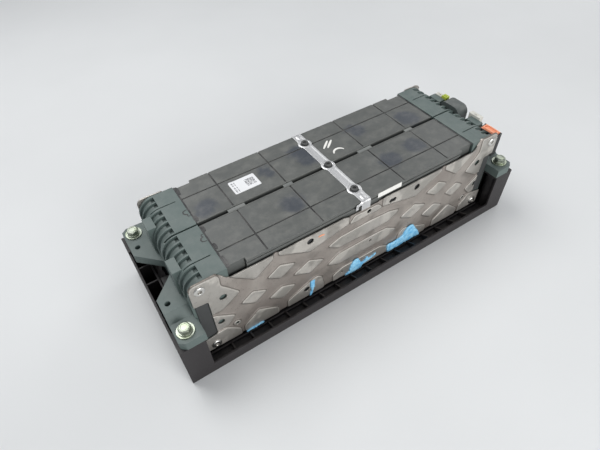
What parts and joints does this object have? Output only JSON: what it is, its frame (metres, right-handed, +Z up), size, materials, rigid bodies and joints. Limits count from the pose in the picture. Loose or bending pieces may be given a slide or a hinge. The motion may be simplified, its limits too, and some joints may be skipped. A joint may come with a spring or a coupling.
{
  "type": "prismatic battery cell module",
  "caption": "Row of prismatic battery cells clamped between ribbed end plates and pressed side plates, under two covers and a strap, bolted by its flanges onto a black tray.",
  "frame": {"origin": "middle of the underside of the tray, where the module rests", "axes": "+X along the cell stack towards the end with the gas outlet and the positive terminal, +Y across the stack to the back, +Z up"},
  "size_m": [0.49, 0.184, 0.1346],
  "materials": {
    "tray_plastic": "near-black glass-filled moulding, satin",
    "end_plate_plastic": "grey-green moulding, satin with scuffs",
    "cover_plastic": "warm dark grey sheet moulding, satin",
    "hood_plastic": "dark grey moulding, satin",
    "dark_plastic": "black moulding, satin",
    "clip_plastic": "light grey moulding",
    "seal_plastic": "black moulding",
    "coated_plate": "warm grey coated steel sheet, satin with faint stains",
    "screw_zinc": "bright zinc",
    "zinc_steel": "yellow passivated zinc",
    "brass_insert": "turned",
    "strap_aluminium": "brushed with fine scratches",
    "cell_aluminium": "drawn can, satin",
    "bar_aluminium": "rolled, satin",
    "copper": "tinned copper bar",
    "insulating_film": "thin film",
    "flex_film": "amber circuit film",
    "stud_rubber": "soft black",
    "label_paper": "matt printed label",
    "white_tape": "foam tape",
    "gap_filler": "cured thermal gap filler",
    "cap_orange": "moulded, slightly glossy",
    "connector_white": "natural nylon",
    "connector_green": "yellow-green nylon"
  },
  "bodies": {
    "module": {"base_sheet": "insulating_film", "bottom_rail_back": "dark_plastic", "bottom_rail_front": "dark_plastic", "busbar_carrier_back": "seal_plastic", "busbar_carrier_front": "seal_plastic", "busbars_back": "bar_aluminium", "busbars_front": "bar_aluminium", "cap_hinge_pin": "zinc_steel", "cell_01": "cell_aluminium", "cell_02": "cell_aluminium", "cell_03": "cell_aluminium", "cell_04": "cell_aluminium", "cell_05": "cell_aluminium", "cell_06": "cell_aluminium", "cell_07": "cell_aluminium", "cell_08": "cell_aluminium", "cell_09": "cell_aluminium", "cell_10": "cell_aluminium", "cell_11": "cell_aluminium", "cell_12": "cell_aluminium", "cell_spacers": "dark_plastic", "cell_vents": "cell_aluminium", "centre_strap": "strap_aluminium", "cover_back": "cover_plastic", "cover_clips": "clip_plastic", "cover_front": "cover_plastic", "end_insulators": "insulating_film", "end_plate_left": "end_plate_plastic", "end_plate_right": "end_plate_plastic", "flange_bushes": "zinc_steel", "gap_filler": "gap_filler", "gas_outlet": "hood_plastic", "label": "label_paper", "mount_bolts": "zinc_steel", "mount_washers": "zinc_steel", "negative_housing": "dark_plastic", "plate_liner_back": "seal_plastic", "plate_liner_front": "seal_plastic", "post_inserts": "brass_insert", "sense_connector": "connector_white", "sense_flex": "flex_film", "side_plate_back": "coated_plate", "side_plate_front": "coated_plate", "side_screws_back": "screw_zinc", "side_screws_front": "screw_zinc", "signal_connector": "connector_green", "strap_studs": "stud_rubber", "tape_tab": "white_tape", "terminal_bar_negative": "copper", "terminal_bar_positive": "copper", "terminal_housing": "dark_plastic", "terminal_seals": "seal_plastic", "terminals_negative": "copper", "terminals_positive": "cell_aluminium", "thermistor_connector": "connector_white", "thermistors": "seal_plastic", "tray": "tray_plastic", "vent_duct": "dark_plastic"},
    "cap": {"terminal_cap": "cap_orange"}
  },
  "joints": [
    {"name": "terminal_cap_hinge", "type": "hinge", "parent": "module", "child": "cap", "pos_m": [0.2217, -0.0587, 0.1255], "axis": [0, 1, 0], "range_deg": [0, 110]}
  ]
}
